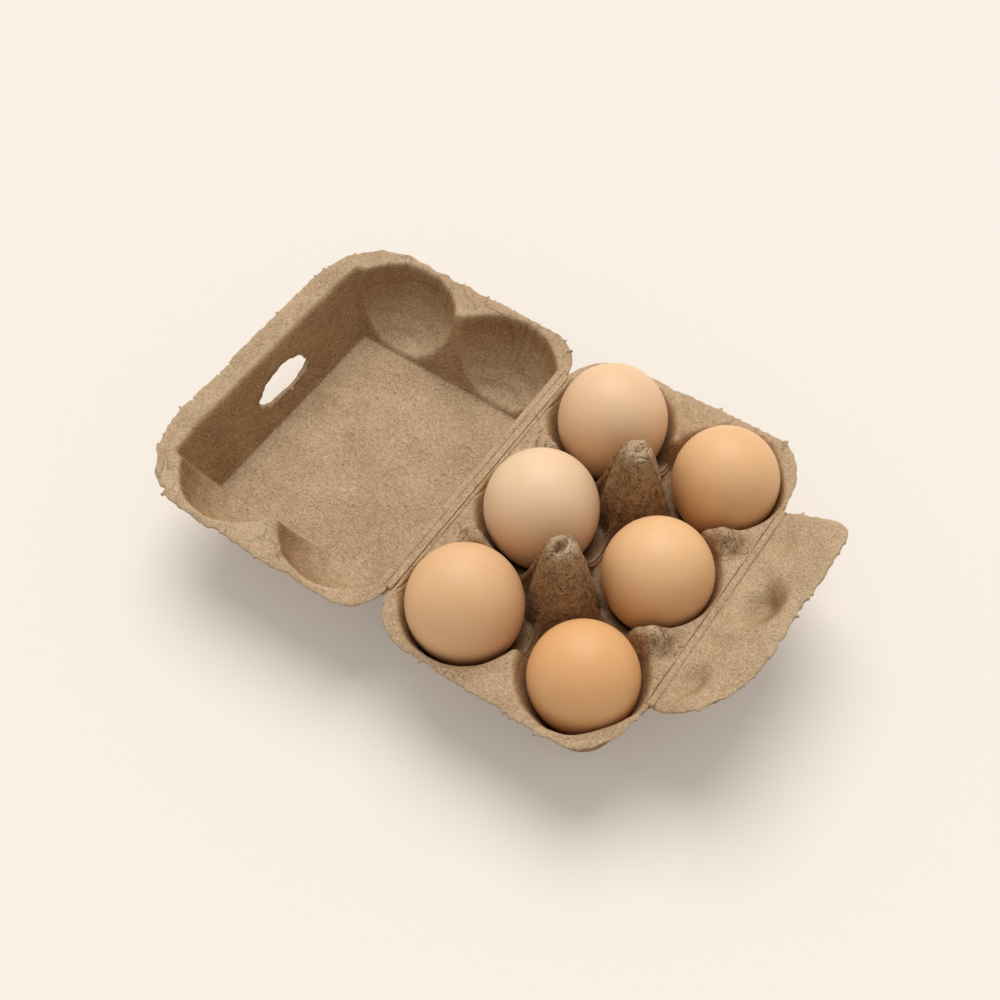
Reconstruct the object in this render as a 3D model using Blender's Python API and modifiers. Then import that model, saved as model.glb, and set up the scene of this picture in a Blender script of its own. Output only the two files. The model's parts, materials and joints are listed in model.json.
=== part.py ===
"""An open six-egg carton of moulded paper pulp, with six hen's eggs standing in its cups.

The carton is pressed in one piece from wet pulp: a tray with six cups and two hollow posts,
a lid on one long side and a closing flap on the other, each joined along a pressed crease.
It stands open on its cups. X runs across it, from the lid to the flap, Y along the creases
and Z up from the table. The creases are the axes that the lid and the flap turn about.
Lengths are in millimetres until a mesh is made. Run it in Blender 4.5.
"""

import math

import bmesh
import bpy
from mathutils import Matrix, Vector

MM = 0.001

# The whole carton
PULP = 1.8              # thickness of the pressed pulp
RIM = 38.0              # top of the tray's rim above the table
GAP = 0.3               # space left between pieces that touch
LENGTH = 148.4          # tray, along the creases
HINGE_X = -50.8         # lid crease
CREASE_X = 48.6         # flap crease

# Cups and posts of the tray
PITCH = 47.6            # from cup to cup along the tray
ROW_X = 24.2            # a row of cups from the middle
CUP_FLOOR = 10.5        # radius of a cup's flat floor
POST_TOP = 65.4         # height of the two posts
KNOB_X = (-37.0, 37.0)  # low knobs where two cups meet at the rim
KNOB_RISE = 3.5
KNOB_RADIUS = 7.5

# Lid, measured from its crease outwards (s), along it (y) and down into it (depth)
LID_REACH = 111.4
LID_HALF = 73.0
LID_DEPTH = 28.0
LID_TILT = 3.1          # degrees, its outer edge up
LID_FLOOR = (12.2, 91.5)
LID_MOUTH = (4.4, 101.5)
LID_FLOOR_HALF = 46.0
LID_MOUTH_HALF = 57.5
DOME_Y = 44.0           # middle of the hollows in the end walls
LID_CORNERS = ((84.0, 40.0), (84.0, 36.0))      # where the front corners' rounding starts, +Y and -Y
LID_CREASE_CORNER = (17.0, 57.6)
LATCH_HOLE = (28.0, 9.0)
LATCH_Y = 1.0
LATCH_DOWN = 15.5       # from the lid's rim down its front wall to the hole's middle

# Flap, measured from its crease outwards (t) and along it (y)
FLAP_LENGTH = 29.0
FLAP_HALF = 46.5
FLAP_TILT = 27.0        # degrees up from level
FLAP_CORNERS = ((21.0, 38.0), (5.0, 13.0))      # as the lid's
DENT = (17.5, 5.0, 8.5, 5.5, 4.0)       # t, y, half length, half width, depth

# Eggs: row (-1 lid side, 1 flap side), column, width and lean in degrees towards -Y
EGGS = (
    (-1, -1, 41.3, 4.0),
    (-1, 0, 41.6, 2.0),
    (-1, 1, 40.9, -2.0),
    (1, -1, 38.3, 3.0),
    (1, 0, 39.5, 0.0),
    (1, 1, 39.0, -2.0),
)
EGG_LENGTH = 1.22       # of its width
EGG_TAPER = 0.12        # how much the pointed end narrows
EGG_SINK = 1.5          # vertical space between egg and cup, about GAP square to the wall

PULP_BROWN = (0.42, 0.30, 0.19)
EGG_TAN = (0.70, 0.43, 0.24)


def clear_scene():
    for thing in list(bpy.data.objects):
        bpy.data.objects.remove(thing, do_unlink=True)


def collection(name):
    group = bpy.data.collections.new(name)
    bpy.context.scene.collection.children.link(group)
    return group


def finish(name, colour, roughness):
    material = bpy.data.materials.new(name)
    material.use_nodes = True
    shader = material.node_tree.nodes["Principled BSDF"]
    shader.inputs["Base Color"].default_value = (*colour, 1.0)
    shader.inputs["Roughness"].default_value = roughness
    shader.inputs["Metallic"].default_value = 0.0
    return material


def along(points, x):
    """Height at x on the line through (x, height) points, level beyond its ends."""
    if x <= points[0][0]:
        return points[0][1]
    for (x0, z0), (x1, z1) in zip(points, points[1:]):
        if x <= x1:
            return z0 + (z1 - z0) * (x - x0) / (x1 - x0)
    return points[-1][1]


def smooth(low, high, x):
    t = min(1.0, max(0.0, (x - low) / (high - low)))
    return t * t * (3.0 - 2.0 * t)


def bump(dx, dy, radius_x, radius_y):
    """A round-topped bump, 1 at its middle and 0 from its radius on."""
    reach = math.hypot(dx / radius_x, dy / radius_y)
    return (1.0 - reach * reach) ** 2 if reach < 1.0 else 0.0


def rounded(x, y, start_x, start_y, end_x, end_y):
    """Move a point of a rectangle's corner square into the rounded corner."""
    a = (x - start_x) / (end_x - start_x)
    b = (abs(y) - start_y) / (end_y - start_y)
    if a <= 0.0 or b <= 0.0:
        return x, y
    round_a = a * math.sqrt(1.0 - b * b / 2.0)
    round_b = b * math.sqrt(1.0 - a * a / 2.0)
    new_y = start_y + round_b * (end_y - start_y)
    return start_x + round_a * (end_x - start_x), math.copysign(new_y, y)


# ---------------------------------------------------------------- tray

CUP_WALL = ((CUP_FLOOR, PULP), (13.0, 10.5), (16.4, 20.5))
CUP_LIP = 20.6          # radius where a cup's wall parts into post, saddle and rim
# Towards the posts and the low saddles between the cups
INNER_WALL = CUP_WALL + ((CUP_LIP, 25.5), (24.0, 28.0), (25.4, 35.0), (27.3, 49.0), (30.0, 62.0))
INNER_WALL += ((31.0, POST_TOP),)
# Towards the rim
OUTER_WALL = CUP_WALL + ((CUP_LIP, 29.5),)
RIM_RADIUS = 24.2
RIM_BLEND = 6.8         # the inner wall turns into the outer one over this width
CREASE_PINCH = 1.8      # the rim is this much closer to the cups along the flap's crease
TRAY_EDGE = (HINGE_X + GAP, CREASE_X - GAP)
FLAP_SIDE_CORNER = (31.0, 47.0)     # where the outline's rounding starts
LID_SIDE_CORNER = (-31.0, 54.2)


def tray_height(x, y):
    """Top surface of the tray: round cups, posts and saddles between them, and the rim."""
    column = min(1, max(-1, round(y / PITCH)))
    dx = abs(x) - ROW_X
    dy = abs(y) - PITCH
    reach = math.hypot(dx, y - column * PITCH)
    outward = max(smooth(0.0, RIM_BLEND, dx), smooth(0.0, RIM_BLEND, dy))
    inner = along(INNER_WALL, reach)
    rim_radius = RIM_RADIUS - CREASE_PINCH * smooth(0.0, 20.0, x - ROW_X)
    outer = along(OUTER_WALL + ((rim_radius, RIM),), reach)
    height = inner + (outer - inner) * outward
    for knob_x in KNOB_X:
        height += KNOB_RISE * bump(x - knob_x, abs(y) - PITCH / 2, KNOB_RADIUS, KNOB_RADIUS)
    return height


def tray_outline(x, y):
    if x > 0.0:
        return rounded(x, y, *FLAP_SIDE_CORNER, TRAY_EDGE[1], LENGTH / 2)
    start_x, start_y = LID_SIDE_CORNER
    turned, y = rounded(-x, y, -start_x, start_y, -TRAY_EDGE[0], LENGTH / 2)
    return -turned, y


def cup_border(x0, x1, y0, y1, centre):
    """Points round a cup's share of the tray, closest together beside the posts."""
    steps = (-1.0, -0.76, -0.38, 0.0, 0.38, 0.76)

    def between(low, high, middle):
        return [middle + f * ((high - middle) if f > 0.0 else (middle - low)) for f in steps]

    across = between(x0, x1, centre[0])
    back_across = [x0 + x1 - x for x in between(x0, x1, x0 + x1 - centre[0])]
    up = between(y0, y1, centre[1])
    back_up = [y0 + y1 - y for y in between(y0, y1, y0 + y1 - centre[1])]
    border = [(x, y0) for x in across] + [(x1, y) for y in up]
    border += [(x, y1) for x in back_across] + [(x0, y) for y in back_up]
    return [tray_outline(x, y) for x, y in border]


def add_tray(group, material):
    bm = bmesh.new()
    for row in (-1, 1):
        for column in (-1, 0, 1):
            centre = (row * ROW_X, column * PITCH)
            x0, x1 = (TRAY_EDGE[0], 0.0) if row < 0 else (0.0, TRAY_EDGE[1])
            y0 = -LENGTH / 2 if column < 0 else (column - 0.5) * PITCH
            y1 = LENGTH / 2 if column > 0 else (column + 0.5) * PITCH
            border = cup_border(x0, x1, y0, y1, centre)
            rings = []
            for ring in range(6):
                loop = []
                for bx, by in border:
                    reach = math.hypot(bx - centre[0], by - centre[1])
                    spare = reach - CUP_LIP
                    beyond = (CUP_LIP + 0.36 * spare, CUP_LIP + 0.7 * spare, reach)
                    radius = (CUP_FLOOR, CUP_WALL[-1][0], CUP_LIP, *beyond)[ring]
                    x = centre[0] + (bx - centre[0]) * radius / reach
                    y = centre[1] + (by - centre[1]) * radius / reach
                    loop.append(bm.verts.new((x * MM, y * MM, tray_height(x, y) * MM)))
                rings.append(loop)
            bm.faces.new(rings[0])
            for inner, outer in zip(rings, rings[1:]):
                for i in range(len(inner)):
                    j = (i + 1) % len(inner)
                    bm.faces.new((inner[i], outer[i], outer[j], inner[j]))
    bmesh.ops.remove_doubles(bm, verts=bm.verts, dist=0.00005)
    return pressed("base", bm, group, material, even=True)


# ---------------------------------------------------------------- pressed sheets

def pressed(name, bm, group, material, even=False):
    """A sheet's top surface, given the pulp's thickness below it."""
    bmesh.ops.recalc_face_normals(bm, faces=bm.faces)
    if sum(face.normal.z * face.calc_area() for face in bm.faces) < 0.0:
        bmesh.ops.reverse_faces(bm, faces=bm.faces)
    mesh = bpy.data.meshes.new(name)
    bm.to_mesh(mesh)
    bm.free()
    mesh.materials.append(material)
    sheet = bpy.data.objects.new(name, mesh)
    group.objects.link(sheet)
    thickness = sheet.modifiers.new("pulp thickness", "SOLIDIFY")
    thickness.thickness = PULP * MM
    thickness.offset = -1.0
    thickness.use_even_offset = even
    return sheet


def add_grid(name, lines_a, lines_b, place, group, material):
    """A sheet over a grid of lines, each crossing put where place(a, b) says."""
    bm = bmesh.new()
    rows = [[bm.verts.new(Vector(place(a, b)) * MM) for b in lines_b] for a in lines_a]
    for row, following in zip(rows, rows[1:]):
        for i in range(len(row) - 1):
            bm.faces.new((row[i], following[i], following[i + 1], row[i + 1]))
    return pressed(name, bm, group, material)


def mirrored(lines):
    """Lines on one side of the middle, repeated on the other."""
    return [-line for line in reversed(lines) if line > 0.0] + list(lines)


# ---------------------------------------------------------------- lid

# Depth of a dome by the distance from its middle
DOME = ((3.0, LID_DEPTH), (10.0, 25.0), (17.0, 19.5), (21.6, 13.5), (24.8, 7.5), (25.8, 0.0))


def lid_depth(s, y):
    """Depth of the lid's inside below its rim."""
    hinge_wall = (s - LID_MOUTH[0]) / (LID_FLOOR[0] - LID_MOUTH[0])
    front_wall = (LID_MOUTH[1] - s) / (LID_MOUTH[1] - LID_FLOOR[1])
    end_wall = (LID_MOUTH_HALF - abs(y)) / (LID_MOUTH_HALF - LID_FLOOR_HALF)
    box = LID_DEPTH * min(1.0, max(0.0, min(hinge_wall, front_wall, end_wall)))
    limit = LID_DEPTH * min(1.0, max(0.0, min(hinge_wall, front_wall)))
    for row in (-1, 1):
        dome_s = row * ROW_X - HINGE_X
        dome = along(DOME, math.hypot(s - dome_s, abs(y) - DOME_Y))
        box = max(box, min(dome, limit))
    return box


def place_on_lid(s, y):
    depth = lid_depth(s, y)
    s, y = rounded(s, y, *LID_CORNERS[0 if y > 0.0 else 1], LID_REACH, LID_HALF)
    x, y = rounded(-s, y, -LID_CREASE_CORNER[0], LID_CREASE_CORNER[1], -GAP, LID_HALF)
    return x, y, -GAP / 2 - depth


def add_latch_hole(lid, cutters):
    """The oval hole in the lid's front wall, cut square to the wall."""
    run = LID_MOUTH[1] - LID_FLOOR[1]
    lean = math.atan2(run, LID_DEPTH)
    middle_s = LID_MOUTH[1] - LATCH_DOWN * math.sin(lean)
    bpy.ops.mesh.primitive_cylinder_add(vertices=20, radius=0.5, depth=1.0)
    cutter = bpy.context.object
    cutter.name = "latch hole cutter"
    size = Matrix.Diagonal((LATCH_HOLE[1], LATCH_HOLE[0], 12.0 * PULP, 1.0))
    turn = Matrix.Rotation(-math.pi / 2 - lean, 4, "Y")
    place = Matrix.Translation((-middle_s, LATCH_Y, -LATCH_DOWN * math.cos(lean)))
    cutter.data.transform(Matrix.Scale(MM, 4) @ place @ turn @ size)
    for group in list(cutter.users_collection):
        group.objects.unlink(cutter)
    cutters.objects.link(cutter)
    cutter.hide_render = True
    cutter.display_type = "WIRE"
    cut = lid.modifiers.new("latch hole", "BOOLEAN")
    cut.object = cutter
    cut.operation = "DIFFERENCE"
    return cutter


def add_lid(group, cutters, material):
    lines_s = [GAP, LID_MOUTH[0], 9.0, LID_FLOOR[0], 17.5, 22.0, 26.6, 31.2, 35.5, 40.0, 45.0, 50.8, 56.6]
    lines_s += [61.5, 66.0, 70.5, 75.0, 79.5, 84.0, 88.0, LID_FLOOR[1], 96.5, LID_MOUTH[1], 106.5, LID_REACH]
    half_lines = [0.0, 16.0, 32.0, 42.0, LID_FLOOR_HALF, 50.0, 54.0, LID_MOUTH_HALF, 61.0, 64.0, 66.5, 68.5]
    lines_y = mirrored(half_lines + [70.5, LID_HALF])
    lid = add_grid("lid", lines_s, lines_y, place_on_lid, group, material)
    return lid, add_latch_hole(lid, cutters)


# ---------------------------------------------------------------- flap

def place_on_flap(t, y):
    """The flap's top surface: a pressed dent that bulges out below, and two shallow valleys."""
    dent_t, dent_y, half_long, half_wide, depth = DENT
    fall = depth * bump(t - dent_t, y - dent_y, half_wide + 2.0, half_long + 2.0)
    fall += 1.0 * bump(t - 7.0, y - 31.0, 7.0, 9.0)
    fall += 1.0 * bump(t - 10.0, y + 17.0, 9.0, 8.0)
    fall += 1.2 * bump(t - 9.0, y + 35.0, 6.0, 6.0)
    t, y = rounded(t, y, *FLAP_CORNERS[0 if y > 0.0 else 1], FLAP_LENGTH, FLAP_HALF)
    return t, y, -fall


def add_flap(group, material):
    lines_t = [GAP, 5.0, 9.5, 13.5, 17.5, 21.5, 25.5, FLAP_LENGTH]
    lines_y = [-FLAP_HALF, -41.0, -35.0, -29.0, -23.0, -17.0, -11.0, -6.0, -2.0, 1.5, 5.0, 8.5, 12.0]
    lines_y += [16.0, 22.0, 27.0, 31.0, 36.0, 41.0, FLAP_HALF]
    return add_grid("flap", lines_t, lines_y, place_on_flap, group, material)


# ---------------------------------------------------------------- eggs

EGG_STEPS = 9
EGG_TURNS = 20


def egg_profile(width):
    """The egg's outline from its blunt top down to its pointed end, as (radius, height)."""
    half = EGG_LENGTH * width / 2
    profile = []
    for i in range(EGG_STEPS + 1):
        angle = math.pi * i / EGG_STEPS
        radius = width / 2 * math.sin(angle) * (1.0 + EGG_TAPER * math.cos(angle))
        profile.append((radius, half * math.cos(angle)))
    return profile


def add_egg(number, row, column, width, lean, group, material):
    mesh = bpy.data.meshes.new("egg outline")
    outline = [(radius * MM, 0.0, height * MM) for radius, height in egg_profile(width)]
    edges = [(i, i + 1) for i in range(EGG_STEPS)]
    mesh.from_pydata(outline, edges, [])
    egg = bpy.data.objects.new(f"egg_{number}", mesh)
    group.objects.link(egg)
    mesh.materials.append(material)
    turned = egg.modifiers.new("turned", "SCREW")
    turned.axis = "Z"
    turned.steps = EGG_TURNS
    turned.render_steps = EGG_TURNS
    turned.use_merge_vertices = True
    turned.merge_threshold = 0.00005
    turned.use_smooth_shade = True
    egg.rotation_euler.x = math.radians(lean)
    egg.location = (row * ROW_X * MM, column * PITCH * MM, egg_height(row, column, width, lean) * MM)
    return egg


def egg_height(row, column, width, lean):
    """How high the egg's middle stands when it has sunk into its cup as far as it goes."""
    turn = Matrix.Rotation(math.radians(lean), 3, "X")
    height = 0.0
    for radius, z in egg_profile(width):
        for i in range(EGG_TURNS):
            angle = 2.0 * math.pi * i / EGG_TURNS
            point = turn @ Vector((radius * math.cos(angle), radius * math.sin(angle), z))
            if point.z < 0.0:
                floor = tray_height(row * ROW_X + point.x, column * PITCH + point.y)
                height = max(height, floor + EGG_SINK - point.z)
    return height


# ---------------------------------------------------------------- the whole carton

def hinge(name, carton, x, z, tilt):
    """An empty on a crease, which carries the piece that turns about it."""
    empty = bpy.data.objects.new(name, None)
    carton.users_collection[0].objects.link(empty)
    empty.parent = carton
    empty.location = (x * MM, 0.0, z * MM)
    empty.rotation_euler.y = math.radians(tilt)
    return empty


def main():
    clear_scene()
    group = collection("egg carton")
    cutters = collection("cutters")
    pulp = finish("moulded pulp", PULP_BROWN, 0.95)
    shell = finish("eggshell", EGG_TAN, 0.5)

    carton = bpy.data.objects.new("carton", None)
    group.objects.link(carton)
    tray = add_tray(group, pulp)
    tray.parent = carton
    eggs = [add_egg(i + 1, *egg, group, shell) for i, egg in enumerate(EGGS)]
    for egg in eggs:
        egg.parent = carton

    lid_crease = hinge("lid crease", carton, HINGE_X, RIM + GAP / 2, LID_TILT)
    lid, cutter = add_lid(group, cutters, pulp)
    lid.parent = lid_crease
    cutter.parent = lid_crease
    flap_crease = hinge("flap crease", carton, CREASE_X, RIM, -FLAP_TILT)
    flap = add_flap(group, pulp)
    flap.parent = flap_crease

    # The origin lies on the table, under the middle of the open carton
    bpy.context.view_layer.update()
    graph = bpy.context.evaluated_depsgraph_get()
    points = []
    for piece in (tray, lid, flap):
        whole = piece.evaluated_get(graph)
        points += [whole.matrix_world @ vertex.co for vertex in whole.data.vertices]
    across = [point.x for point in points]
    carton.location.x = -(min(across) + max(across)) / 2
    carton.location.z = -min(point.z for point in points)
    bpy.context.view_layer.update()


main()
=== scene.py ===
"""The looks of an open moulded-pulp egg carton with six brown eggs, on a plain pale floor."""

import json
import math

import bmesh
import bpy
import numpy as np
from mathutils import Matrix, Vector


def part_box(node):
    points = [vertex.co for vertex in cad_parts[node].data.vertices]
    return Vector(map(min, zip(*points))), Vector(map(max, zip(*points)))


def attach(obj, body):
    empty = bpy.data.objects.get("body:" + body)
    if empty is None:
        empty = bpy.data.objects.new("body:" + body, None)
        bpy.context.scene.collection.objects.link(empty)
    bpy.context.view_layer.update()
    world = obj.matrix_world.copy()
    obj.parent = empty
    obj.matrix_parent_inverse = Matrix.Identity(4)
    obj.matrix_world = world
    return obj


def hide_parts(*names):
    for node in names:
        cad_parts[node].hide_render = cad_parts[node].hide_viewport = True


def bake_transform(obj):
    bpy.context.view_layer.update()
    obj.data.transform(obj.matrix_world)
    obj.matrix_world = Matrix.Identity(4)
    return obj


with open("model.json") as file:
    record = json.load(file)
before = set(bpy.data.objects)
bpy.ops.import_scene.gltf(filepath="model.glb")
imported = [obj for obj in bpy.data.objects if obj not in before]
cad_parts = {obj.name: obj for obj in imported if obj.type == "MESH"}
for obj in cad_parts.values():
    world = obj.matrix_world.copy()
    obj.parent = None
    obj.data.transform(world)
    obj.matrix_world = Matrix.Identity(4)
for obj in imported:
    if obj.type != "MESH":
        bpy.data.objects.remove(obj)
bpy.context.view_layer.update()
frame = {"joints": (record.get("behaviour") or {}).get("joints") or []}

# ------------------------------------------------------------------ tray
# The tray is vacuum-formed from wet paper pulp on a wire mould and dried: round cups, two
# hollow posts that carry a stacked carton, and a flat rim that ends in a torn-looking deckle
# edge. Lengths are in millimetres from the tray's middle, as in the CAD model.

MM = 0.001
joints = {joint["name"]: joint for joint in frame["joints"]}
lid_crease = Vector(joints["lid_hinge"]["pos_m"]) / MM
flap_crease = Vector(joints["flap_hinge"]["pos_m"]) / MM

PULP = 1.8
GAP = 0.3
RIM = 38.0
HALF_LENGTH = 74.2
HINGE_X = -50.8
CREASE_X = 48.6
PITCH = 47.6
ROW_X = 24.2
POST_TOP = 65.4
CUP_LIP = 20.6                  # radius where a cup's wall parts into post, saddle and rim
RIM_RADIUS = 23.8
TRAY_FLAP_CORNER = (31.0, 47.0)     # where each rounded corner starts
TRAY_LID_CORNER = (31.0, 54.2)
EDGE_THINNESS = 0.7             # of the pulp's thickness, at a free edge
FINE = 0.7                      # spacing of the fine meshes' lines
DROP = flap_crease.z - RIM      # the cups' feet stand on the floor

tray_edge = (HINGE_X + GAP, CREASE_X - GAP)
middle_x = lid_crease.x - HINGE_X


def soft_line(points, softness):
    """Height by distance along a line through the points, with its corners rounded."""
    step = 0.1
    at = np.arange(0.0, 40.0, step)
    height = np.interp(at, *zip(*points))
    reach = int(3 * softness / step)
    weights = np.exp(-0.5 * (np.arange(-reach, reach + 1) * step / softness) ** 2)
    rounded_off = np.convolve(np.pad(height, reach, mode="edge"), weights / weights.sum(), "valid")
    return lambda distance: np.interp(distance, at, rounded_off)


def smooth(low, high, x):
    t = np.clip((x - low) / (high - low), 0.0, 1.0)
    return t * t * (3.0 - 2.0 * t)


def bump(x, y, radius_x, radius_y):
    """A round-topped bump, 1 at its middle and 0 from its radius on."""
    reach = np.minimum(1.0, np.hypot(x / radius_x, y / radius_y))
    return (1.0 - reach**2) ** 2


def lumps(x, y, size, seed):
    """Smooth random relief between -1 and 1, with lumps of that size."""
    lattice = np.random.default_rng(seed).uniform(-1.0, 1.0, (97, 97))
    u, v = x / size, y / size
    i, j = np.floor(u).astype(int), np.floor(v).astype(int)
    a, b = smooth(0.0, 1.0, u - i), smooth(0.0, 1.0, v - j)
    near = lattice[i % 97, j % 97] * (1.0 - a) + lattice[(i + 1) % 97, j % 97] * a
    far = lattice[i % 97, (j + 1) % 97] * (1.0 - a) + lattice[(i + 1) % 97, (j + 1) % 97] * a
    return near * (1.0 - b) + far * b


def rounded(x, y, start, end):
    """Move the points of a rectangle's corner square into its rounded corner."""
    a = np.clip((x - start[0]) / (end[0] - start[0]), 0.0, 1.0)
    b = np.clip((np.abs(y) - start[1]) / (end[1] - start[1]), 0.0, 1.0)
    turned = (a > 0.0) & (b > 0.0)
    round_x = start[0] + a * np.sqrt(1.0 - b * b / 2.0) * (end[0] - start[0])
    round_y = start[1] + b * np.sqrt(1.0 - a * a / 2.0) * (end[1] - start[1])
    return np.where(turned, round_x, x), np.where(turned, np.sign(y) * round_y, y)


def deckle(x, y, low, high, free, seed):
    """Push the outline in and out like the torn edge of wet pulp; free is 1 on a free edge."""
    core_x = np.clip(x, low[0] + 30.0, high[0] - 30.0)
    core_y = np.clip(y, low[1] + 30.0, high[1] - 30.0)
    away_x, away_y = x - core_x, y - core_y
    length = np.maximum(np.hypot(away_x, away_y), 1e-6)
    along = np.arctan2(away_y, away_x) * 40.0 + core_x * 1.7 + core_y * 1.3
    wander = 0.75 * lumps(along, along * 0.31, 9.0, seed) + 0.36 * lumps(along, along * 0.2, 2.6, seed + 1)
    spur = smooth(0.68, 0.95, lumps(along, along * 0.4, 2.2, seed + 2)) * 1.5
    nick = smooth(0.70, 0.95, lumps(along, along * 0.4, 1.8, seed + 3)) * 1.2
    push = (wander + spur - nick) * free
    return x + away_x / length * push, y + away_y / length * push


def pulp_relief(x, y):
    """The unevenness that the wire mould and the drying leave in the surface."""
    waves = 0.10 * lumps(x, y, 7.0, 11) + 0.07 * lumps(x, y, 2.7, 12)
    return waves + 0.05 * lumps(x, y, 1.3, 13)


def cracks(x, y, size, seed):
    """Thin wandering lines, 1 on a line, where stiff pulp has split as it was bent."""
    wander = lumps(x, y, size, seed) + 0.45 * lumps(x, y, size * 0.45, seed + 1)
    return np.exp(-((wander / 0.045) ** 2))


def groove(x, middle, width):
    return np.exp(-(((x - middle) / width) ** 2))


def sheet(name, lines_a, lines_b, place, edge_thinness):
    """A pulp sheet over a grid of lines: place gives each crossing's x, y and z, how far in from
    the free edge it is, how cracked the pulp is there, with painted shade along pressed lines and in
    dents, and how much it was torn in forming. It is thinner towards the edge."""
    grid_a, grid_b = np.meshgrid(lines_a, lines_b, indexing="ij")
    x, y, z, inset, cracked_and_shaded, torn = place(grid_a, grid_b)
    points = np.stack([x, y, z], axis=-1).reshape(-1, 3) * MM
    rows, columns = grid_a.shape
    number = np.arange(rows * columns).reshape(rows, columns)
    corners = (number[:-1, :-1], number[1:, :-1], number[1:, 1:], number[:-1, 1:])
    faces = np.stack(corners, axis=-1).reshape(-1, 4)
    mesh = bpy.data.meshes.new(name)
    mesh.from_pydata(points.tolist(), [], faces.tolist())
    bm = bmesh.new()
    bm.from_mesh(mesh)
    if sum(face.normal.z for face in bm.faces) < 0.0:
        bmesh.ops.reverse_faces(bm, faces=bm.faces)
    bm.to_mesh(mesh)
    bm.free()
    steep = 1.0 - np.array([abs(vertex.normal.z) for vertex in mesh.vertices])
    mesh.attributes.new("steep", "FLOAT", "POINT").data.foreach_set("value", steep)
    fuzz = np.exp(-inset.ravel() / 0.9)
    mesh.attributes.new("edge", "FLOAT", "POINT").data.foreach_set("value", fuzz)
    mesh.attributes.new("crack_and_shade", "FLOAT", "POINT").data.foreach_set("value", cracked_and_shaded.ravel())
    mesh.attributes.new("torn", "FLOAT", "POINT").data.foreach_set("value", torn.ravel())
    mesh.shade_smooth()
    piece = bpy.data.objects.new(name, mesh)
    bpy.context.scene.collection.objects.link(piece)
    body = piece.vertex_groups.new(name="thickness")
    for level in range(11):
        inside = np.flatnonzero(np.round(10 * (1.0 - fuzz)).astype(int) == level)
        body.add(inside.tolist(), edge_thinness + (1.0 - edge_thinness) * level / 10, "REPLACE")
    thickness = piece.modifiers.new("pulp thickness", "SOLIDIFY")
    thickness.thickness = PULP * MM
    thickness.offset = -1.0
    thickness.vertex_group = "thickness"
    return piece


def blend_max(a, b, width):
    """The larger of the two, with a fillet of that width."""
    close = np.maximum(width - np.abs(a - b), 0.0) / width
    return np.maximum(a, b) + close * close * width / 4.0


cup_wall = ((10.5, PULP), (13.0, 10.5), (16.4, 20.5))
inner_wall = soft_line(cup_wall + ((CUP_LIP, 24.5), (24.0, 27.0), (25.5, 35.0), (27.3, 49.0), (29.8, 62.5),
                                   (30.6, POST_TOP)), 0.7)
outer_wall = soft_line(cup_wall + ((CUP_LIP, 29.5), (RIM_RADIUS, RIM)), 0.7)


def tray_height(x, y):
    """Top surface of the tray: cups, posts, saddles and rim."""
    column = np.clip(np.round(y / PITCH), -1, 1)
    out_x = np.abs(x) - ROW_X
    out_y = np.abs(y) - PITCH
    reach = np.hypot(out_x, y - column * PITCH)
    pinch = 1.0 + 0.06 * smooth(0.0, 20.0, x - ROW_X) - 0.03 * smooth(0.0, 20.0, -x - ROW_X)
    outward = np.maximum(smooth(0.0, 6.0, out_x), smooth(0.0, 6.0, out_y))
    return inner_wall(reach) * (1.0 - outward) + outer_wall(reach * pinch) * outward


KNOB = (37.0, -37.0)            # where the cups' walls meet beside each crease
CREASE_LINES = ((CREASE_X - 1.1, 0.38, 0.7, 46.0), (HINGE_X + 1.1, 0.3, 0.45, 57.0),
                (HINGE_X + 2.9, 0.3, 0.3, 57.0))
post_cone = soft_line(((0.0, 65.0), (4.4, 64.8), (6.0, 62.0), (8.6, 50.0), (11.4, 36.0), (12.6, 28.0),
                       (15.0, 5.0), (16.5, -9.0)), 0.6)


def tray_details(x, y):
    """What the pressing adds: knobs where cups meet, dimpled post tops and the crease lines."""
    change = np.zeros_like(x)
    between = np.abs(y) - PITCH / 2
    change += 4.0 * bump(x - KNOB[0], between, 9.5, 8.0) + 2.0 * bump(x - KNOB[0] + 1.0, between, 4.5, 4.5)
    change -= 2.2 * bump(x - 44.0, between, 4.5, 9.5)
    change += 3.4 * bump(x - KNOB[1], between, 8.0, 7.0) + 0.9 * bump(x - KNOB[1] - 1.0, between, 3.5, 4.5)
    change -= 1.1 * bump(x + 45.0, between, 4.5, 8.0)
    change += 0.6 * bump(x + 1.0, np.abs(y) - 59.5, 7.0, 6.0)
    # The posts' tops are torn open, the near one more
    near = np.exp(-(((x + 0.3) / 1.7) ** 2) - ((y + PITCH / 2 + 0.4) / 2.9) ** 2)
    notch = np.exp(-(((x + 1.2) / 1.2) ** 2) - ((y + PITCH / 2 + 4.6) / 1.8) ** 2)
    far = np.exp(-(((x - 1.5) / 2.4) ** 2) - ((y - PITCH / 2 + 0.8) / 1.6) ** 2)
    on_posts = bump(x, between, 9.0, 9.0)
    change -= 4.6 * near + 2.0 * notch + 1.1 * far
    change += on_posts * (0.4 * lumps(x, y, 2.6, 15) + 0.12 * lumps(x, y, 1.2, 16))
    for middle, width, depth, reach in CREASE_LINES:
        change -= depth * groove(x, middle, width) * (1.0 - smooth(reach - 1.0, reach + 1.0, np.abs(y)))
    return change


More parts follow.
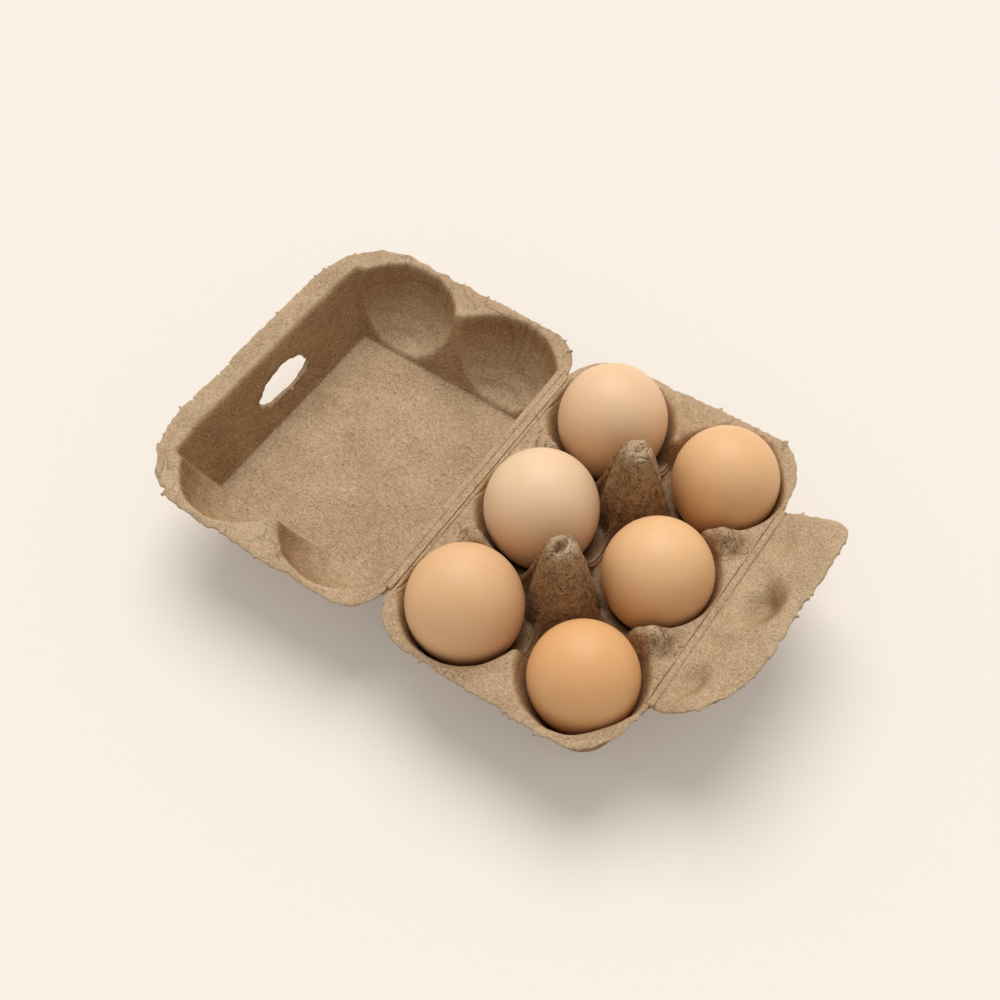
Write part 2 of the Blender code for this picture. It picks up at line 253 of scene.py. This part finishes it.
def tray_cracks_and_crease_shade(x, y):
    """Splits beside the knobs and along the rim, and painted shade along the pressed lines' bottoms."""
    between = np.abs(y) - PITCH / 2
    by_knobs = 1.6 * bump(x - 41.0, between, 9.0, 11.0) + 1.6 * bump(x + 40.0, between, 10.0, 11.0)
    rim = smooth(66.0, 70.5, np.abs(y)) * 0.5
    split_and_shade = cracks(x, y, 6.0, 17) * np.clip(1.3 * by_knobs, 0.0, 1.0) + cracks(x, y, 9.0, 19) * rim
    # The pressed lines' bottoms are darkened with painted shade
    for middle, width, depth, reach in CREASE_LINES:
        uneven = 0.9 * depth + 0.25 * lumps(x, y, 5.0, 23)
        uneven = uneven * (1.0 - smooth(reach - 1.0, reach + 1.0, np.abs(y)))
        split_and_shade = np.maximum(split_and_shade, groove(x, middle, 0.7 * width) * uneven)
    return split_and_shade


def place_on_tray(x, y):
    inset = np.minimum(HALF_LENGTH - np.abs(y), 99.0)
    corner_x = np.where(x > 0.0, tray_edge[1] - x, x - tray_edge[0])
    corner_free = smooth(46.0, 52.0, np.abs(y))
    inset = np.minimum(inset, corner_x + 99.0 * (1.0 - corner_free))
    formed = blend_max(tray_height(x, y), post_cone(np.hypot(x, np.abs(y) - PITCH / 2)), 2.5)
    height = formed + tray_details(x, y) + pulp_relief(x, y)
    height -= 0.9 * np.exp(-inset / 1.3) + 0.25 * lumps(x, y, 22.0, 21) * np.exp(-inset / 9.0)
    right_x, right_y = rounded(x, y, TRAY_FLAP_CORNER, (tray_edge[1], HALF_LENGTH))
    left_x, left_y = rounded(-x, y, TRAY_LID_CORNER, (-tray_edge[0], HALF_LENGTH))
    new_x = np.where(x > 0.0, right_x, -left_x)
    new_y = np.where(x > 0.0, right_y, left_y)
    free = np.exp(-inset / 3.0) * smooth(47.0, 56.0, np.abs(new_y))
    low, high = (tray_edge[0], -HALF_LENGTH), (tray_edge[1], HALF_LENGTH)
    new_x, new_y = deckle(new_x, new_y, low, high, free, 31)
    between = np.abs(y) - PITCH / 2
    torn = bump(x, between, 22.0, 22.0) * 2.2 + bump(x - KNOB[0], between, 12.0, 11.0)
    torn += bump(x - KNOB[1], between, 11.0, 11.0)
    return new_x + middle_x, new_y, height + DROP, inset, tray_cracks_and_crease_shade(x, y), np.clip(torn, 0.0, 1.0)


def lines(low, high, finer=()):
    """Evenly spaced lines, with more of them about each of the finer places."""
    even = np.linspace(low, high, round((high - low) / FINE) + 1)
    extra = [np.arange(middle - reach, middle + reach, step) for middle, reach, step in finer]
    every = np.unique(np.round(np.concatenate([even, *extra]), 3))
    return every[(every >= low) & (every <= high)]


tray = sheet("pulp_tray",
             lines(*tray_edge, finer=((CREASE_X - 1.3, 1.0, 0.2), (HINGE_X + 1.9, 1.6, 0.2),
                                      (0.0, 6.0, 0.7))),
             lines(-HALF_LENGTH, HALF_LENGTH, finer=((-PITCH / 2, 6.0, 0.7), (PITCH / 2, 6.0, 0.7))),
             place_on_tray, EDGE_THINNESS)


def linear(colour):
    """An sRGB hex colour as the linear RGBA that shaders take."""
    channels = [int(colour[i : i + 2], 16) / 255 for i in (1, 3, 5)]
    return [c / 12.92 if c <= 0.04045 else ((c + 0.055) / 1.055) ** 2.4 for c in channels] + [1.0]


def node(tree, kind, settings=None, **links):
    """Adds a node. settings go to its properties, or to an input if there is one by that name;
    each link is an input's name, with _ for spaces, and what feeds it."""
    made = tree.nodes.new(kind)
    for name, value in (settings or {}).items():
        if isinstance(name, int) or name in made.inputs:
            made.inputs[name].default_value = value
        else:
            setattr(made, name, value)
    for name, source in links.items():
        target = made.inputs[int(name[3:])] if name.startswith("in_") else made.inputs[name.replace("_", " ")]
        tree.links.new(source, target)
    return made


def new_material(name):
    material = bpy.data.materials.new(name)
    material.use_nodes = True
    material.node_tree.nodes.clear()
    return material, material.node_tree


def moulded_pulp():
    """Brown pulp of mixed waste paper, formed on a wire mesh: dull, grainy and mottled, flecked
    with pale and dark fibres, and rougher on the walls that were stretched. Steep walls, the
    pressed lines and the flap's dents are darkened with painted shade."""
    material, tree = new_material("moulded waste-paper pulp")
    place = node(tree, "ShaderNodeTexCoord").outputs["Object"]
    per_mm = 1.0 / MM
    cloud = node(tree, "ShaderNodeTexNoise", {"Scale": per_mm / 15.0, "Detail": 2.0}, Vector=place)
    mottle = node(tree, "ShaderNodeTexNoise", {"Scale": per_mm / 3.2, "Detail": 3.0}, Vector=place)
    grain = node(tree, "ShaderNodeTexNoise", {"Scale": per_mm / 0.8, "Detail": 2.0, "Roughness": 0.8}, Vector=place)
    some = node(tree, "ShaderNodeMath", {"operation": "MULTIPLY_ADD", 1: 0.4}, in_0=cloud.outputs["Fac"],
                in_2=grain.outputs["Fac"])
    more = node(tree, "ShaderNodeMath", {"operation": "MULTIPLY_ADD", 1: 0.2}, in_0=mottle.outputs["Fac"],
                in_2=some.outputs[0])
    light = node(tree, "ShaderNodeMapRange", {"From Min": 0.52, "From Max": 1.08}, Value=more.outputs[0])
    tone = node(tree, "ShaderNodeMix", {"data_type": "RGBA", 6: linear("#977857"), 7: linear("#cfb391")},
                in_0=light.outputs[0])
    # Single fibres are 0.05 mm thick, too fine to show, so they are drawn 0.3 mm wide
    laid = node(tree, "ShaderNodeMapping", {"Rotation": (0.3, 0.2, 0.9), "Scale": (0.35, 1.0, 1.0)},
                Vector=place)
    strand = node(tree, "ShaderNodeTexNoise", {"Scale": per_mm / 0.6, "Detail": 1.0}, Vector=laid.outputs[0])
    pale = node(tree, "ShaderNodeMapRange", {"From Min": 0.64, "From Max": 0.74, "To Max": 0.40},
                Value=strand.outputs["Fac"])
    dark = node(tree, "ShaderNodeMapRange", {"From Min": 0.36, "From Max": 0.27, "To Max": 0.55},
                Value=strand.outputs["Fac"])
    steep = node(tree, "ShaderNodeAttribute", {"attribute_name": "steep"})
    wall = node(tree, "ShaderNodeMapRange", {"From Min": 0.12, "From Max": 0.75}, Value=steep.outputs["Fac"])
    # Steep walls are multiplied darker: painted shade by how steep the surface is
    steep_shaded = node(tree, "ShaderNodeMix", {"data_type": "RGBA", "blend_type": "MULTIPLY",
                                             7: linear("#e4d2ba")},
                     in_0=wall.outputs[0], in_6=tone.outputs[2])
    with_pale = node(tree, "ShaderNodeMix", {"data_type": "RGBA", 7: linear("#dccaae")}, in_0=pale.outputs[0],
                     in_6=steep_shaded.outputs[2])
    with_dark = node(tree, "ShaderNodeMix", {"data_type": "RGBA", 7: linear("#5f462d")}, in_0=dark.outputs[0],
                     in_6=with_pale.outputs[2])
    # Splits: the drawn ones on the sheet, and finer ones where the walls were stretched. The drawn
    # ones also carry painted shade along the pressed lines and in the flap's dents.
    crack_and_shade = node(tree, "ShaderNodeAttribute", {"attribute_name": "crack_and_shade"})
    tear = node(tree, "ShaderNodeTexNoise", {"Scale": per_mm / 4.0, "Detail": 3.0, "Distortion": 0.4}, Vector=place)
    ridge = node(tree, "ShaderNodeMath", {"operation": "SUBTRACT", 1: 0.5}, in_0=tear.outputs["Fac"])
    narrow = node(tree, "ShaderNodeMath", {"operation": "ABSOLUTE"}, in_0=ridge.outputs[0])
    thin = node(tree, "ShaderNodeMapRange", {"From Min": 0.02, "From Max": 0.0}, Value=narrow.outputs[0])
    torn = node(tree, "ShaderNodeAttribute", {"attribute_name": "torn"})
    on_wall = node(tree, "ShaderNodeMath", {"operation": "MULTIPLY"}, in_0=thin.outputs[0],
                   in_1=torn.outputs["Fac"])
    split_and_shade = node(tree, "ShaderNodeMath", {"operation": "MAXIMUM"}, in_0=on_wall.outputs[0],
                 in_1=crack_and_shade.outputs["Fac"])
    drawn = node(tree, "ShaderNodeMath", {"operation": "MULTIPLY", 1: 0.7, "use_clamp": True},
                 in_0=split_and_shade.outputs[0])
    # Dark tone of the splits, which is also painted shade along the pressed lines and in the dents
    split_and_shade_tone = node(tree, "ShaderNodeMix", {"data_type": "RGBA", 7: linear("#4a3420")},
                      in_0=drawn.outputs[0],
                      in_6=with_dark.outputs[2])
    fray = node(tree, "ShaderNodeAttribute", {"attribute_name": "edge"})
    fringe = node(tree, "ShaderNodeMath", {"operation": "MULTIPLY", 1: 0.45}, in_0=fray.outputs["Fac"])
    frayed = node(tree, "ShaderNodeMix", {"data_type": "RGBA", 7: linear("#c4ab88")}, in_0=fringe.outputs[0],
                  in_6=split_and_shade_tone.outputs[2])
    # Relief: grain all over, deeper lumps and splits on the walls
    lumpy = node(tree, "ShaderNodeMath", {"operation": "MULTIPLY"}, in_0=tear.outputs["Fac"],
                 in_1=wall.outputs[0])
    worked = node(tree, "ShaderNodeMath", {"operation": "MULTIPLY_ADD", 1: 1.6}, in_0=torn.outputs["Fac"],
                  in_2=wall.outputs[0])
    coarse = node(tree, "ShaderNodeMath", {"operation": "MULTIPLY"}, in_0=lumpy.outputs[0],
                  in_1=worked.outputs[0])
    raised = node(tree, "ShaderNodeMath", {"operation": "MULTIPLY_ADD", 1: 2.6}, in_0=coarse.outputs[0],
                  in_2=grain.outputs["Fac"])
    sunk = node(tree, "ShaderNodeMath", {"operation": "MULTIPLY_ADD", 1: -0.9}, in_0=split_and_shade.outputs[0],
                in_2=raised.outputs[0])
    rough = node(tree, "ShaderNodeBump", {"Strength": 1.0, "Distance": 0.38 * MM}, Height=sunk.outputs[0])
    shader = node(tree, "ShaderNodeBsdfPrincipled", {"Roughness": 0.93, "Specular IOR Level": 0.25},
                  Base_Color=frayed.outputs[2], Normal=rough.outputs[0])
    node(tree, "ShaderNodeOutputMaterial", Surface=shader.outputs[0])
    return material


pulp = moulded_pulp()
tray.data.materials.append(pulp)
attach(tray, "tray")
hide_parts("base")

# ------------------------------------------------------------------ lid
# The lid is the same sheet, deeper and plainer: a flat floor, leaning walls, and two half domes
# in each end wall that clear the end eggs. Its front wall has a torn oval hole for the latch.

LID_REACH = 111.4
LID_HALF = 73.0
LID_DEPTH = 28.0
LID_TILT = math.radians(3.1)
LID_FLOOR = (12.2, 91.5)
LID_MOUTH = (4.4, 101.5)
LID_FLOOR_HALF = 46.0
LID_MOUTH_HALF = 57.5
DOME_Y = 44.0
LATCH_HALF = (14.3, 5.6)
LATCH_Y = 1.6
LATCH_DOWN = 15.5
LID_FAR_CORNER = (84.0, 40.0)
LID_NEAR_CORNER = (84.0, 36.0)
LID_CREASE_CORNER = (17.0, 57.6)

dome = soft_line(((0.0, LID_DEPTH - 1.5), (10.0, 25.0), (17.0, 19.5), (21.6, 13.5), (24.8, 7.0),
                  (25.8, 0.0)), 0.6)


def lid_depth(s, y):
    """Depth of the lid's inside below its rim, s outwards from the crease."""
    hinge_wall = (s - LID_MOUTH[0]) / (LID_FLOOR[0] - LID_MOUTH[0])
    front_wall = (LID_MOUTH[1] - s) / (LID_MOUTH[1] - LID_FLOOR[1])
    end_wall = (LID_MOUTH_HALF - np.abs(y)) / (LID_MOUTH_HALF - LID_FLOOR_HALF)
    long_walls = LID_DEPTH * np.minimum(hinge_wall, front_wall)
    box = -blend_max(-long_walls, -LID_DEPTH * end_wall, 1.5)
    deepest = np.zeros_like(s)
    for row in (-1, 1):
        hollow = dome(np.hypot(s - (row * ROW_X - HINGE_X), np.abs(y) - DOME_Y))
        deepest = np.maximum(deepest, -blend_max(-hollow, -long_walls, 1.5))
    depth = blend_max(box, deepest, 2.0)
    return np.clip(-blend_max(-depth, np.full_like(depth, -LID_DEPTH), 1.2), 0.0, None)


def place_on_lid(s, y):
    inset = np.minimum(LID_HALF - np.abs(y), LID_REACH - s)
    inset = np.minimum(inset, s + 99.0 * (1.0 - smooth(57.0, 62.0, np.abs(y))))
    depth = lid_depth(s, y) - pulp_relief(s + 200.0, y)
    depth += 0.5 * smooth(8.0, 20.0, depth)
    depth += 0.9 * np.exp(-inset / 1.3) + 0.5 * lumps(s, y, 18.0, 41) * np.exp(-inset / 9.0)
    pressed = 1.0 - smooth(56.0, 58.0, np.abs(y))
    depth += 0.3 * groove(s, 1.6, 0.35) * pressed - 0.9 * bump(s - 50.0, np.abs(y) - 58.5, 6.0, 5.0)
    far_s, far_y = rounded(s, y, LID_FAR_CORNER, (LID_REACH, LID_HALF))
    cut_s, cut_y = rounded(s, y, LID_NEAR_CORNER, (LID_REACH, LID_HALF))
    new_s, new_y = np.where(y > 0.0, far_s, cut_s), np.where(y > 0.0, far_y, cut_y)
    near_s, near_y = rounded(-s, y, (-LID_CREASE_CORNER[0], LID_CREASE_CORNER[1]), (-GAP, LID_HALF))
    new_s = np.where(s < 40.0, -near_s, new_s)
    new_y = np.where(s < 40.0, near_y, new_y)
    free = np.exp(-inset / 3.0) * smooth(1.0, 8.0, new_s)
    new_s, new_y = deckle(new_s, new_y, (0.0, -LID_HALF), (LID_REACH, LID_HALF), free, 51)
    z = -GAP / 2 - depth
    x = -new_s * math.cos(LID_TILT) + z * math.sin(LID_TILT)
    up = new_s * math.sin(LID_TILT) + z * math.cos(LID_TILT)
    split_and_shade = cracks(s, y, 11.0, 43) * smooth(60.0, 66.0, np.abs(y)) * 0.6
    # The pressed crease line is darkened with painted shade
    split_and_shade += groove(s, 1.6, 0.25) * (0.18 + 0.25 * lumps(s, y, 5.0, 45)) * pressed
    torn = 0.25 * smooth(10.0, 20.0, depth)
    return lid_crease.x + x, new_y, lid_crease.z + up, inset, split_and_shade, torn


lid = sheet("pulp_lid", lines(GAP, LID_REACH, finer=((1.6, 0.8, 0.2),)), lines(-LID_HALF, LID_HALF),
            place_on_lid, EDGE_THINNESS)


OVAL_POINTS = 120
CUTTER_HALF = 8.0


def ragged_oval():
    """A cutter for the latch hole: its outline wanders as the pulp tore."""
    outline = []
    for i in range(OVAL_POINTS):
        angle = 2 * math.pi * i / OVAL_POINTS
        ripple = 1.0 + 0.05 * math.sin(3 * angle + 1.0) + 0.035 * math.sin(7 * angle)
        ripple += 0.02 * math.sin(17 * angle)
        outline.append((LATCH_HALF[1] * ripple * math.cos(angle), LATCH_HALF[0] * ripple * math.sin(angle)))
    bm = bmesh.new()
    low = [bm.verts.new((x, y, -CUTTER_HALF)) for x, y in outline]
    high = [bm.verts.new((x, y, CUTTER_HALF)) for x, y in outline]
    bm.faces.new(reversed(low))
    bm.faces.new(high)
    for i in range(len(low)):
        j = (i + 1) % len(low)
        bm.faces.new((low[i], low[j], high[j], high[i]))
    lean = math.atan2(LID_MOUTH[1] - LID_FLOOR[1], LID_DEPTH)
    middle = Vector((-(LID_MOUTH[1] - LATCH_DOWN * math.sin(lean)), LATCH_Y, -LATCH_DOWN * math.cos(lean)))
    place = Matrix.Translation(lid_crease) @ Matrix.Rotation(LID_TILT, 4, "Y") @ Matrix.Translation(middle)
    bm.transform(Matrix.Scale(MM, 4) @ place @ Matrix.Rotation(-math.pi / 2 - lean, 4, "Y"))
    mesh = bpy.data.meshes.new("latch hole")
    bm.to_mesh(mesh)
    bm.free()
    return bpy.data.objects.new("latch hole", mesh)


def settled(piece):
    """The piece's mesh with its modifiers applied."""
    bpy.context.view_layer.update()
    mesh = bpy.data.meshes.new_from_object(piece.evaluated_get(bpy.context.evaluated_depsgraph_get()))
    piece.modifiers.clear()
    piece.data = mesh
    return piece


hole = ragged_oval()
bpy.context.scene.collection.objects.link(hole)
cut = lid.modifiers.new("latch hole", "BOOLEAN")
cut.object = hole
lid = settled(lid)
bpy.data.objects.remove(hole, do_unlink=True)
lid.data.materials.clear()
lid.data.materials.append(pulp)
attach(lid, "lid")
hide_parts("lid")

# ------------------------------------------------------------------ flap
# The closing flap folds up inside the lid. It is pressed with a deep oval dent, whose back bulges
# into the lid's hole, a shallow round dent and two shallow valleys that stiffen it.

FLAP_LENGTH = 29.0
FLAP_HALF = 46.5
FLAP_TILT = math.radians(27.0)
FLAP_FAR_CORNER = (21.5, 38.5)
FLAP_NEAR_CORNER = (5.0, 13.0)
FLAP_EDGE_THINNESS = 0.8


def bowl(x, y, radius_x, radius_y):
    """A pressed dent: 1 over its flat middle, with steep sides, 0 from its radius on."""
    return smooth(0.0, 0.8, 1.0 - np.hypot(x / radius_x, y / radius_y))


def place_on_flap(t, y):
    inset = np.minimum(FLAP_LENGTH - t, FLAP_HALF - np.abs(y))
    height = pulp_relief(t + 400.0, y)
    height -= 5.0 * bowl(t - 14.6, y - 5.0, 9.8, 12.5) + 1.6 * bowl(t - 13.0, y - 6.0, 6.0, 8.0)
    height -= 1.8 * bump(t - 8.5, y - 12.0, 8.5, 10.0)
    height -= 1.1 * bump(t - 7.0, y - 31.0, 7.0, 9.0) + 1.3 * bump(t - 8.0, y + 15.0, 9.0, 6.0)
    height -= 2.6 * bowl(t - 8.5, y + 33.0, 8.5, 9.5)
    height -= 0.4 * groove(t, 1.4, 0.35)
    height -= 0.8 * np.exp(-inset / 1.2) + 0.5 * lumps(t, y, 15.0, 61) * np.exp(-inset / 6.0)
    far_t, far_y = rounded(t, y, FLAP_FAR_CORNER, (FLAP_LENGTH, FLAP_HALF))
    near_t, near_y = rounded(t, y, FLAP_NEAR_CORNER, (FLAP_LENGTH, FLAP_HALF))
    new_t = np.where(y > 0.0, far_t, near_t)
    new_y = np.where(y > 0.0, far_y, near_y)
    free = np.exp(-inset / 2.5) * smooth(1.5, 5.0, new_t)
    new_t, new_y = deckle(new_t, new_y, (-40.0, -FLAP_HALF), (FLAP_LENGTH, FLAP_HALF), free, 71)
    x = new_t * math.cos(FLAP_TILT) - height * math.sin(FLAP_TILT)
    up = new_t * math.sin(FLAP_TILT) + height * math.cos(FLAP_TILT)
    split_and_shade = cracks(t, y, 7.0, 73) * np.exp(-inset / 4.0) * 0.6
    # The dents are darkened with painted shade, since their shape alone shows too faintly
    split_and_shade += 0.38 * bowl(t - 14.5, y - 6.5, 7.5, 9.5) + 0.16 * bowl(t - 8.0, y + 32.0, 7.5, 8.5)
    # The pressed crease line is darkened with painted shade
    split_and_shade += groove(t, 1.4, 0.25) * (0.25 + 0.3 * lumps(t, y, 5.0, 75))
    torn = 0.3 * bowl(t - 15.8, y - 4.5, 9.0, 11.5)
    return flap_crease.x + x, new_y, flap_crease.z + up, inset, split_and_shade, torn


flap = sheet("pulp_flap", lines(GAP, FLAP_LENGTH, finer=((1.4, 0.8, 0.2),)), lines(-FLAP_HALF, FLAP_HALF),
             place_on_flap, FLAP_EDGE_THINNESS)
flap.data.materials.append(pulp)
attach(flap, "flap")
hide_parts("flap")

# ------------------------------------------------------------------ creases
# The live hinges: thinner bands of pulp, pressed flat between two lines, over the creases
# where the lid and the flap turn.

WEB_HALF = 1.15
WEB_THICKNESS = 1.0
WEB_RISE = 0.06                 # how far the band's top stands above the crease
FLAP_WEB_HALF_LENGTH = 46.0
LID_WEB_HALF_LENGTH = 57.0


def web(name, crease, body, tilt, half_length):
    """A band of pulp over one crease, level on the tray's side and tilted on the other."""
    across = np.linspace(-WEB_HALF, WEB_HALF, 13)
    along = np.linspace(-half_length, half_length, round(2 * half_length / 1.0) + 1)
    outward = 1.0 if body == "flap" else -1.0
    bm = bmesh.new()
    rings = []
    for y in along:
        ring = []
        for side, points in ((WEB_RISE, across), (WEB_RISE - WEB_THICKNESS, across[::-1])):
            for a in points:
                turn = tilt if a > 0.0 else 0.0
                wave = 0.05 * float(lumps(np.array([y + 80.0]), np.array([a]), 2.0, 81)[0])
                x = outward * (a * math.cos(turn) - (side + wave) * math.sin(turn))
                z = a * math.sin(turn) + (side + wave) * math.cos(turn)
                ring.append(bm.verts.new(Vector((crease.x + x, y, crease.z + z)) * MM))
        rings.append(ring)
    for ring, following in zip(rings, rings[1:]):
        for i in range(len(ring)):
            j = (i + 1) % len(ring)
            bm.faces.new((ring[i], ring[j], following[j], following[i]))
    bm.faces.new(rings[0])
    bm.faces.new(rings[-1])
    bmesh.ops.recalc_face_normals(bm, faces=bm.faces)
    mesh = bpy.data.meshes.new(name)
    bm.to_mesh(mesh)
    bm.free()
    mesh.shade_smooth()
    mesh.materials.append(pulp)
    piece = bpy.data.objects.new(name, mesh)
    bpy.context.scene.collection.objects.link(piece)
    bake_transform(piece)
    return piece


web("crease_flap", flap_crease, "flap", FLAP_TILT, FLAP_WEB_HALF_LENGTH)
web("crease_lid", lid_crease, "lid", LID_TILT, LID_WEB_HALF_LENGTH)

# ------------------------------------------------------------------ eggs
# Six brown hen's eggs, point down in the cups. Each is a sphere drawn out by the egg's rule:
# longer than wide, and narrower towards the point. The flap's row is the deeper coloured.

EGG_LENGTH = 1.22
EGG_TAPER = 0.12


def egg_tree():
    tree = bpy.data.node_groups.new("hen's egg", "GeometryNodeTree")
    tree.is_modifier = True
    for name, value in (("Width", 0.04), ("Length", EGG_LENGTH), ("Taper", EGG_TAPER)):
        socket = tree.interface.new_socket(name, in_out="INPUT", socket_type="NodeSocketFloat")
        socket.default_value = value
    tree.interface.new_socket("Shell", in_out="INPUT", socket_type="NodeSocketMaterial")
    tree.interface.new_socket("Geometry", in_out="OUTPUT", socket_type="NodeSocketGeometry")
    given = node(tree, "NodeGroupInput").outputs
    ball = node(tree, "GeometryNodeMeshUVSphere", {"Segments": 72, "Rings": 48, "Radius": 1.0})
    place = node(tree, "GeometryNodeInputPosition")
    parts = node(tree, "ShaderNodeSeparateXYZ", in_0=place.outputs[0])
    narrowed = node(tree, "ShaderNodeMath", {"operation": "MULTIPLY_ADD", 2: 1.0}, in_0=parts.outputs["Z"],
                    in_1=given["Taper"])
    half = node(tree, "ShaderNodeMath", {"operation": "MULTIPLY", 1: 0.5}, in_0=given["Width"])
    radius = node(tree, "ShaderNodeMath", {"operation": "MULTIPLY"}, in_0=half.outputs[0],
                  in_1=narrowed.outputs[0])
    tall = node(tree, "ShaderNodeMath", {"operation": "MULTIPLY"}, in_0=half.outputs[0], in_1=given["Length"])
    size = node(tree, "ShaderNodeCombineXYZ", X=radius.outputs[0], Y=radius.outputs[0], Z=tall.outputs[0])
    drawn = node(tree, "ShaderNodeVectorMath", {"operation": "MULTIPLY"}, in_0=place.outputs[0],
                 in_1=size.outputs[0])
    egg = node(tree, "GeometryNodeSetPosition", Geometry=ball.outputs["Mesh"], Position=drawn.outputs[0])
    smoothed = node(tree, "GeometryNodeSetShadeSmooth", Geometry=egg.outputs[0])
    real = node(tree, "GeometryNodeRealizeInstances", Geometry=smoothed.outputs[0])
    shelled = node(tree, "GeometryNodeSetMaterial", Geometry=real.outputs[0], Material=given["Shell"])
    node(tree, "NodeGroupOutput", in_0=shelled.outputs[0])
    return tree


def eggshell(name, colour, deep):
    """Brown eggshell: satin under its dry bloom, pricked with pores and faintly clouded by how
    the pigment was laid on in the hen."""
    material, tree = new_material(name)
    place = node(tree, "ShaderNodeTexCoord").outputs["Object"]
    per_mm = 1.0 / MM
    cloud = node(tree, "ShaderNodeTexNoise", {"Scale": per_mm / 16.0, "Detail": 2.0}, Vector=place)
    tone = node(tree, "ShaderNodeMix", {"data_type": "RGBA", 6: linear(deep), 7: linear(colour)},
                in_0=cloud.outputs["Fac"])
    fine = node(tree, "ShaderNodeTexNoise", {"Scale": per_mm / 1.2, "Detail": 2.0}, Vector=place)
    fleck = node(tree, "ShaderNodeMapRange", {"From Min": 0.75, "From Max": 0.79, "To Max": 0.35},
                 Value=fine.outputs["Fac"])
    spotted = node(tree, "ShaderNodeMix", {"data_type": "RGBA", 7: linear("#9a6a42")}, in_0=fleck.outputs[0],
                   in_6=tone.outputs[2])
    pores = node(tree, "ShaderNodeTexVoronoi", {"Scale": per_mm / 0.9}, Vector=place)
    pits = node(tree, "ShaderNodeMapRange", {"From Min": 0.0, "From Max": 0.25}, Value=pores.outputs["Distance"])
    dimpled = node(tree, "ShaderNodeBump", {"Strength": 0.12, "Distance": 0.05 * MM}, Height=pits.outputs[0])
    shader = node(tree, "ShaderNodeBsdfPrincipled",
                  {"Roughness": 0.48, "Specular IOR Level": 0.35, "Subsurface Weight": 0.12,
                   "Subsurface Scale": 0.0015, "Subsurface Radius": (1.0, 0.5, 0.25)},
                  Base_Color=spotted.outputs[2], Normal=dimpled.outputs[0])
    node(tree, "ShaderNodeOutputMaterial", Surface=shader.outputs[0])
    return material


EGGS = (
    ("egg_1", 41.3, 4.0, "#e6b98a", "#dbaa79"),
    ("egg_2", 41.6, 2.0, "#eccaa4", "#e6c099"),
    ("egg_3", 40.9, -2.0, "#ecc69d", "#e4bb90"),
    ("egg_4", 38.3, 3.0, "#e6b079", "#dba36a"),
    ("egg_5", 39.5, 0.0, "#ebbc89", "#e2b07b"),
    ("egg_6", 39.0, -2.0, "#ebbb87", "#e2b07b"),
)

egg_rule = egg_tree()
inputs = [item for item in egg_rule.interface.items_tree if item.in_out == "INPUT"]
sockets = {item.name: item.identifier for item in inputs}
for number, (cad_egg, width, lean, colour, deep) in enumerate(EGGS, 1):
    egg = bpy.data.objects.new(f"egg_shell_{number}", bpy.data.meshes.new("egg"))
    bpy.context.scene.collection.objects.link(egg)
    rule = egg.modifiers.new("egg rule", "NODES")
    rule.node_group = egg_rule
    rule[sockets["Width"]] = width * MM
    rule[sockets["Length"]] = EGG_LENGTH
    rule[sockets["Taper"]] = EGG_TAPER
    rule[sockets["Shell"]] = eggshell(f"brown eggshell {number}", colour, deep)
    egg = settled(egg)
    low, high = (Vector(corner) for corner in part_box(cad_egg))
    egg.data.transform(Matrix.Translation((low + high) / 2) @ Matrix.Rotation(math.radians(lean), 4, "X"))
    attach(egg, "tray")
    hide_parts(cad_egg)

# ------------------------------------------------------------------ floor, light and camera
# A cream studio sweep, one large soft light high up behind the carton, and a white surround.

FLOOR_SIZE = 8.0
bpy.ops.mesh.primitive_plane_add(size=FLOOR_SIZE)
floor = bpy.context.object
floor.name = "floor"
paper, paper_tree = new_material("cream background paper")
paper_shader = node(paper_tree, "ShaderNodeBsdfPrincipled",
                    {"Base Color": linear("#d6cec4"), "Roughness": 1.0, "Specular IOR Level": 0.0,
                     "Emission Color": linear("#faf2e7"), "Emission Strength": 0.2})
node(paper_tree, "ShaderNodeOutputMaterial", Surface=paper_shader.outputs[0])
floor.data.materials.append(paper)

SUN_STRENGTH = 2.33
SUN_ANGLE = math.radians(45.0)
SUN_FROM = Vector((-0.26, 0.42, 0.87))
SURROUND = 0.5
sun = bpy.data.lights.new("softbox", "SUN")
sun.energy = SUN_STRENGTH
sun.angle = SUN_ANGLE
lamp = bpy.data.objects.new("softbox", sun)
bpy.context.scene.collection.objects.link(lamp)
lamp.rotation_euler = SUN_FROM.to_track_quat("Z", "Y").to_euler()

world = bpy.data.worlds.new("white surround")
bpy.context.scene.world = world
world.use_nodes = True
world.node_tree.nodes["Background"].inputs["Color"].default_value = (1.0, 1.0, 1.0, 1.0)
world.node_tree.nodes["Background"].inputs["Strength"].default_value = SURROUND

AZIMUTH, ELEVATION, ROLL = (math.radians(angle) for angle in (37.64, 54.96, -3.83))
DISTANCE = 0.5355
TARGET = Vector((0.00087, -0.0006, 0.03))
lens = bpy.data.cameras.new("camera")
lens.lens = 52.27
lens.sensor_width = 36.0
camera = bpy.data.objects.new("camera", lens)
bpy.context.scene.collection.objects.link(camera)
turn = Matrix.Rotation(AZIMUTH, 4, "Z") @ Matrix.Rotation(math.pi / 2 - ELEVATION, 4, "X")
back = Matrix.Translation((0.0, 0.0, DISTANCE))
camera.matrix_world = Matrix.Translation(TARGET) @ turn @ back @ Matrix.Rotation(ROLL, 4, "Z")
bpy.context.scene.camera = camera
bpy.context.scene.view_settings.view_transform = "Standard"
